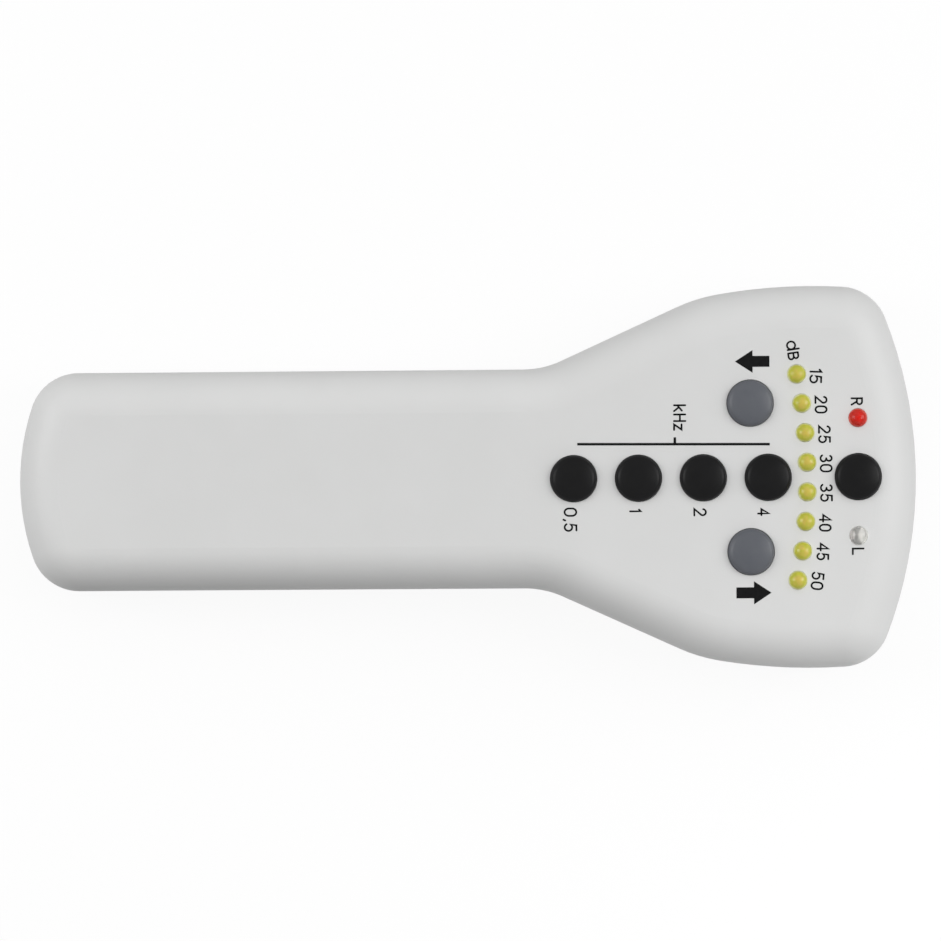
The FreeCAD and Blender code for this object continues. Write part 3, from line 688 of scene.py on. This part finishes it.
def circleThrough(a, b, c):
    # centre and radius, in plan, of the circle through three places
    d = 2 * (a.x * (b.y - c.y) + b.x * (c.y - a.y) + c.x * (a.y - b.y))
    squares = [place.x ** 2 + place.y ** 2 for place in (a, b, c)]
    x = (squares[0] * (b.y - c.y) + squares[1] * (c.y - a.y) + squares[2] * (a.y - b.y)) / d
    y = (squares[0] * (c.x - b.x) + squares[1] * (a.x - c.x) + squares[2] * (b.x - a.x)) / d
    return Vector((x, y)), math.dist((x, y), (a.x, a.y))


# the row follows the arc on which the model's own lights stand
levelNames = ["level_light_%d" % level for level in rowLook["levels"]]
levelPlaces = [nodeMiddle(name) for name in levelNames]
middlePlace = levelPlaces[(len(levelPlaces) - 1) // 2]
rowCentre, rowRadius = circleThrough(levelPlaces[0], middlePlace, levelPlaces[-1])
spanAngle = 2 * math.asin((levelPlaces[0].y - levelPlaces[-1].y) / 2 / rowRadius)
rowValues = {"Count": len(levelNames), "Pitch": spanAngle * rowRadius / (len(levelNames) - 1),
             "Arc Radius": rowRadius, "Arc Centre": rowCentre.x, "Turn": rowLook["turn"],
             "Seed": rowLook["seed"]}
rowTree = makeRowTree()
lensMesh = latheMesh("lens", lensProfile(lensLook), lensLook["segments"])
cupMesh, postMesh = insideMeshes(insideLook)
# pale matte finish as a painted reflection on the metal cup
cupPaintedReflectionFinish = mouldedPlastic("lightCup", cupPaintedReflectionLook)
postFinish = brushedMetal("lightPost", postLook)


def makeRow(name, mesh, finish):
    row = makeObject(name, treeResult(name, mesh, rowTree, {**rowValues, "Material": finish}))
    finishMesh(row.data)
    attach(row, "housing")
    return row


lensRow = makeRow("level_lenses", lensMesh, finishes["yellow_lens"])
lensRow.visible_shadow = False
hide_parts(*levelNames)
makeRow("level_light_frames", joinMeshes("inside", [cupMesh, postMesh]), cupPaintedReflectionFinish)
earLenses = {"right_light": ("right_lens", "red_lens"), "left_light": ("left_lens", "clear_lens")}
for node, (name, finish) in earLenses.items():
    middle = nodeMiddle(node)
    lens = makeObject(name, moveMesh(lensMesh.copy(), middle.x, middle.y), finishes[finish])
    lens.visible_shadow = False
    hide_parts(node)
    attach(lens, "housing")
    for part, mesh, partFinish in (("_cup", cupMesh, cupPaintedReflectionFinish), ("_post", postMesh, postFinish)):
        inside = makeObject(name + part, moveMesh(mesh.copy(), middle.x, middle.y), partFinish)
        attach(inside, "housing")
print("lights made")


# housing screws, in millimetres
screwLook = {"headRadius": 2.0, "headHeight": 1.5, "headRound": 0.7, "headRoundStep": 15,
             "headFlatShare": 0.35, "shankRadius": 1.1, "shankLength": 12.9, "tipLength": 1.6,
             "recessLength": 2.3, "recessWidth": 0.55, "recessDepth": 0.9, "segments": 40, "seed": 11}
sameScrew = 2.2                  # a corner within this many head radii belongs to the same screw


def screwBlank(look):
    # head down, its seat at z = 0
    head, seat = look["headRadius"], look["headHeight"]
    rounding = look["headRound"]
    profile = [(0, -seat), (head * look["headFlatShare"], -seat)]
    profile += arcPoints(head - rounding, -seat + rounding, rounding, rounding, -90, 0,
                         look["headRoundStep"])
    profile += [(head, 0), (look["shankRadius"], 0)]
    profile += [(look["shankRadius"], look["shankLength"] - look["tipLength"]), (0, look["shankLength"])]
    return latheMesh("screwBlank", [(r * mm, z * mm) for r, z in profile], look["segments"])


def makeScrewTree():
    # cuts a cross recess into the blank, and puts a copy on each seat, turned by chance
    tree, groupIn, groupOut = newTree("screwSet", [
        ("Blank", "Object", None), ("Recess Length", "Float", 0.0023), ("Recess Width", "Float", 0.00055),
        ("Recess Depth", "Float", 0.0009), ("Head Height", "Float", 0.0015), ("Seed", "Int", 11),
        ("Material", "Material", None)])
    link = tree.links.new
    given = groupIn.outputs
    blank = tree.nodes.new("GeometryNodeObjectInfo")
    link(given["Blank"], blank.inputs["Object"])
    cut = tree.nodes.new("GeometryNodeMeshBoolean")
    cut.operation = "DIFFERENCE"
    link(blank.outputs["Geometry"], cut.inputs["Mesh 1"])
    for sizeX, sizeY in (("Recess Length", "Recess Width"), ("Recess Width", "Recess Length")):
        size = tree.nodes.new("ShaderNodeCombineXYZ")
        link(given[sizeX], size.inputs["X"])
        link(given[sizeY], size.inputs["Y"])
        link(mathNode(tree, "MULTIPLY", given["Recess Depth"], 2), size.inputs["Z"])
        blade = tree.nodes.new("GeometryNodeMeshCube")
        link(size.outputs["Vector"], blade.inputs["Size"])
        shift = tree.nodes.new("ShaderNodeCombineXYZ")
        link(mathNode(tree, "MULTIPLY", given["Head Height"], -1), shift.inputs["Z"])
        placed = tree.nodes.new("GeometryNodeTransform")
        link(blade.outputs["Mesh"], placed.inputs["Geometry"])
        link(shift.outputs["Vector"], placed.inputs["Translation"])
        link(placed.outputs["Geometry"], cut.inputs["Mesh 2"])
    spin = randomSpin(tree, given["Seed"], 0, math.pi)
    placeCopies(tree, given["Geometry"], cut.outputs["Mesh"], spin, groupIn, groupOut)
    return tree


def screwSeats(node, look):
    # one place for each screw of the node: its axis in plan, level with the seat of its head
    groups = []
    for corner in [vert.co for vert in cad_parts[node].data.vertices]:
        for group in groups:
            if (corner - group[0]).xy.length < sameScrew * look["headRadius"] * mm:
                group.append(corner)
                break
        else:
            groups.append([corner])
    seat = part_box(node)[0].z + look["headHeight"] * mm
    places = []
    for group in groups:
        xs = [corner.x for corner in group]
        ys = [corner.y for corner in group]
        places.append(((min(xs) + max(xs)) / 2, (min(ys) + max(ys)) / 2, seat))
    return places


seats = bpy.data.meshes.new("screwSeats")
seats.from_pydata(screwSeats("housing_screws", screwLook), [], [])
blankObject = makeObject("screwBlank", screwBlank(screwLook))
screwMesh = treeResult("housing_screw_set", seats, makeScrewTree(), {
    "Blank": blankObject, "Recess Length": screwLook["recessLength"] * mm,
    "Recess Width": screwLook["recessWidth"] * mm, "Recess Depth": screwLook["recessDepth"] * mm,
    "Head Height": screwLook["headHeight"] * mm, "Seed": screwLook["seed"],
    "Material": finishes["screw_steel"]})
bpy.data.objects.remove(blankObject)
screwSet = makeObject("housing_screw_set", finishMesh(screwMesh))
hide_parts("housing_screws")
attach(screwSet, "housing")
print("screws made")


# sprung discs in the key switches, in millimetres; travel is the key's
discLook = {"crown": 0.9, "thickness": 0.15, "travel": 1.0, "gap": 0.05, "spare": 0.02, "steps": 14,
            "segments": 40}


def discMesh(look, radius, foot, top):
    # snap disc: a level crown that runs out in a soft curve to its rim
    rise = top - foot - look["thickness"] * mm
    crown = look["crown"] * mm
    curve = [(0, foot + rise)]
    for i in range(look["steps"] + 1):
        share = i / look["steps"]
        curve.append((crown + (radius - crown) * share, foot + rise * (1 + math.cos(math.pi * share)) / 2))
    upper = [(r, z + look["thickness"] * mm) for r, z in reversed(curve)]
    return latheMesh("disc", curve + upper, look["segments"])


domeStart = "switch_dome_"
for key in [name[len(domeStart):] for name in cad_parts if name.startswith(domeStart)]:
    low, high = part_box(domeStart + key)
    middle = (low + high) / 2
    mesh = moveMesh(discMesh(discLook, (high.x - low.x) / 2, low.z, high.z), middle.x, middle.y)
    disc = makeObject("sprung_disc_" + key, mesh, finishes["spring_steel"])
    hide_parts(domeStart + key)
    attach(disc, "housing")
    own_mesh(disc)
print("sprung discs made")


# battery, in millimetres; bandStart is a share of its length
batteryLook = {"round": 1.6, "roundSteps": 4, "endRound": 0.3, "color": (0.035, 0.055, 0.10),
               "bandColor": (0.45, 0.46, 0.47), "bandStart": 0.62, "bandBlur": 0.2,
               "bandEdge": (0.2, 0.8), "roughness": 0.32, "metallic": 0.4, "coat": 0.5,
               "scuffScale": 500, "scuffGloss": (0.25, 0.42)}


def batteryFinish(look, low, high):
    # printed metal sleeve: a dark field and a plain pale band at the terminal end
    material = newMaterial("batteryWrap", look["color"], look["roughness"], look["metallic"],
                           coat=look["coat"])
    nodes, links = material.node_tree.nodes, material.node_tree.links
    place = nodes.new("ShaderNodeTexCoord")
    split = nodes.new("ShaderNodeSeparateXYZ")
    links.new(place.outputs["Object"], split.inputs["Vector"])
    band = nodes.new("ShaderNodeMapRange")
    start = low.x + (high.x - low.x) * look["bandStart"]
    band.inputs["From Min"].default_value = start
    band.inputs["From Max"].default_value = start + look["bandBlur"] * mm
    links.new(split.outputs["X"], band.inputs["Value"])
    varyColor(material, band.outputs["Result"], look["color"], look["bandColor"], *look["bandEdge"])
    varyRoughness(material, noiseOn(material, look["scuffScale"], 4), *look["scuffGloss"])
    return material


def roundedBlock(name, low, high, look):
    # block whose four long edges along X are rounded, with its two ends drawn in a little
    rounding, endRound = look["round"] * mm, look["endRound"] * mm
    work = bmesh.new()
    corners = [(high.y - rounding, high.z - rounding, 0), (low.y + rounding, high.z - rounding, 90),
               (low.y + rounding, low.z + rounding, 180), (high.y - rounding, low.z + rounding, 270)]
    ring = []
    for cy, cz, start in corners:
        ring += arcPoints(cy, cz, rounding, rounding, start, start + 90, 90 / look["roundSteps"])
    middleY, middleZ = (low.y + high.y) / 2, (low.z + high.z) / 2
    loops = []
    for x, shrink in ((low.x, endRound), (low.x + endRound, 0), (high.x - endRound, 0), (high.x, endRound)):
        scaleY = 1 - shrink / ((high.y - low.y) / 2)
        scaleZ = 1 - shrink / ((high.z - low.z) / 2)
        loops.append([work.verts.new((x, middleY + (y - middleY) * scaleY, middleZ + (z - middleZ) * scaleZ))
                      for y, z in ring])
    for first, second in zip(loops, loops[1:]):
        for i in range(len(ring)):
            j = (i + 1) % len(ring)
            work.faces.new((first[i], first[j], second[j], second[i]))
    work.faces.new(loops[0][::-1])
    work.faces.new(loops[-1])
    bmesh.ops.recalc_face_normals(work, faces=list(work.faces))
    return finishMesh(meshFrom(name, work))


low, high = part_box("battery_case")
battery = makeObject("battery_sleeve", roundedBlock("battery_sleeve", low, high, batteryLook),
                     batteryFinish(batteryLook, low, high))
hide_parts("battery_case")
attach(battery, "housing")
print("battery made")


# stage, in metres: a floor that turns up at its rim, mostly white where it is seen itself
stageLook = {"drop": 0.0003, "radius": 3.0, "rimRadius": 4.5, "rimHeight": 1.6, "rimStep": 10,
             "segments": 96, "color": (0.40, 0.40, 0.40), "secondColor": (0.42, 0.42, 0.42),
             "speckleScale": 400, "whiteShare": 0.8, "white": 1.14, "bounce": 0.2}


def seenRays(tree):
    # 1 for a ray that sees the background itself: directly, in a reflection or through clear plastic
    rays = tree.nodes.new("ShaderNodeLightPath")
    direct = mathNode(tree, "MAXIMUM", rays.outputs["Is Camera Ray"], rays.outputs["Is Glossy Ray"])
    return mathNode(tree, "MAXIMUM", direct, rays.outputs["Is Transmission Ray"])


def rangeBetween(tree, factor, low, high):
    spread = tree.nodes.new("ShaderNodeMapRange")
    spread.inputs["To Min"].default_value = low
    spread.inputs["To Max"].default_value = high
    tree.links.new(factor, spread.inputs["Value"])
    return spread.outputs["Result"]


def mixShaders(tree, factor, first, second):
    mix = tree.nodes.new("ShaderNodeMixShader")
    tree.links.new(factor, mix.inputs["Fac"])
    for socket, shader in zip(mix.inputs[1:], (first, second)):
        tree.links.new(shader.outputs[0], socket)
    return mix


def stageFinish(look):
    material = bpy.data.materials.new("paleFloor")
    material.use_nodes = True
    tree = material.node_tree
    nodes, links = tree.nodes, tree.links
    nodes.remove(nodes["Principled BSDF"])
    tint = nodes.new("ShaderNodeValToRGB")
    tint.color_ramp.elements[0].color = (*look["color"], 1)
    tint.color_ramp.elements[1].color = (*look["secondColor"], 1)
    links.new(noiseOn(material, look["speckleScale"], 2), tint.inputs["Fac"])
    paper = nodes.new("ShaderNodeBsdfDiffuse")
    links.new(tint.outputs["Color"], paper.inputs["Color"])
    seen = seenRays(tree)
    white = nodes.new("ShaderNodeEmission")
    links.new(rangeBetween(tree, seen, look["bounce"], look["white"]), white.inputs["Strength"])
    floorMix = mixShaders(tree, rangeBetween(tree, seen, 1, look["whiteShare"]), paper, white)
    # the underside of the floor is open, so the part can be seen from below
    side = nodes.new("ShaderNodeNewGeometry")
    opening = nodes.new("ShaderNodeBsdfTransparent")
    oneSided = mixShaders(tree, side.outputs["Backfacing"], floorMix, opening)
    links.new(oneSided.outputs["Shader"], nodes["Material Output"].inputs["Surface"])
    return material


def stageMesh(look):
    rim = arcPoints(look["radius"], look["rimHeight"], look["rimRadius"] - look["radius"],
                    look["rimHeight"], -90, 0, look["rimStep"])
    mesh = latheMesh("stage", [(0, 0), (look["radius"], 0)] + rim[1:], look["segments"])
    moveMesh(mesh, 0, 0, -look["drop"])
    mesh.flip_normals()
    return mesh


makeObject("stage_floor", stageMesh(stageLook), stageFinish(stageLook))

skyLook = {"base": 0.3, "lobe": 1.35}


def makeSky(look):
    # an even sky with a soft lobe towards +Y, plain white where it is seen itself
    world = bpy.data.worlds.new("softSky")
    scene.world = world
    world.use_nodes = True
    tree = world.node_tree
    background = tree.nodes["Background"]
    background.inputs["Color"].default_value = (1, 1, 1, 1)
    direction = tree.nodes.new("ShaderNodeTexCoord")
    split = tree.nodes.new("ShaderNodeSeparateXYZ")
    tree.links.new(direction.outputs["Generated"], split.inputs["Vector"])
    toward = mathNode(tree, "MAXIMUM", split.outputs["Y"], 0)
    total = mathNode(tree, "ADD", look["base"], mathNode(tree, "MULTIPLY", toward, look["lobe"]))
    toWhite = mathNode(tree, "MULTIPLY", mathNode(tree, "SUBTRACT", 1, total), seenRays(tree))
    tree.links.new(mathNode(tree, "ADD", total, toWhite), background.inputs["Strength"])


# lamps, in metres and watts, all turned to one place on the part
lampAim = (0.03, 0, 0.02)
lamps = {
    "rightPanel": {"place": (0.80, 0.12, 0.50), "size": (0.5, 0.6), "power": 4.1, "glossy": True},
    "leftPanel": {"place": (-0.85, 0.15, 0.55), "size": (0.5, 0.6), "power": 4.4, "glossy": True},
    "frontPanel": {"place": (0.16, -0.17, 0.08), "size": (0.16, 0.12), "power": 0.074, "glossy": False},
}


def makeLamps():
    for name, look in lamps.items():
        data = bpy.data.lights.new(name, "AREA")
        data.shape = "RECTANGLE"
        data.size, data.size_y = look["size"]
        data.energy = look["power"]
        lamp = bpy.data.objects.new(name, data)
        lamp.location = look["place"]
        aim = Vector(lampAim) - lamp.location
        lamp.rotation_euler = aim.to_track_quat("-Z", "Y").to_euler()
        lamp.visible_camera = False
        lamp.visible_glossy = look["glossy"]
        scene.collection.objects.link(lamp)


# camera, looking straight down: its place and lens in millimetres, clip in metres, turn in degrees
cameraLook = {"x": 0.91, "y": 2.25, "height": 1031, "turn": -0.42, "lens": 153.03, "clip": (0.05, 20)}


def makeCamera(look):
    data = bpy.data.cameras.new("camera")
    data.lens = look["lens"]
    data.clip_start, data.clip_end = look["clip"]
    camera = bpy.data.objects.new("camera", data)
    camera.location = (look["x"] * mm, look["y"] * mm, look["height"] * mm)
    camera.rotation_euler = (0, 0, math.radians(look["turn"]))
    scene.collection.objects.link(camera)
    scene.camera = camera


makeSky(skyLook)
makeLamps()
makeCamera(cameraLook)
scene.view_settings.view_transform = "Standard"
print("stage, lamps and camera set")
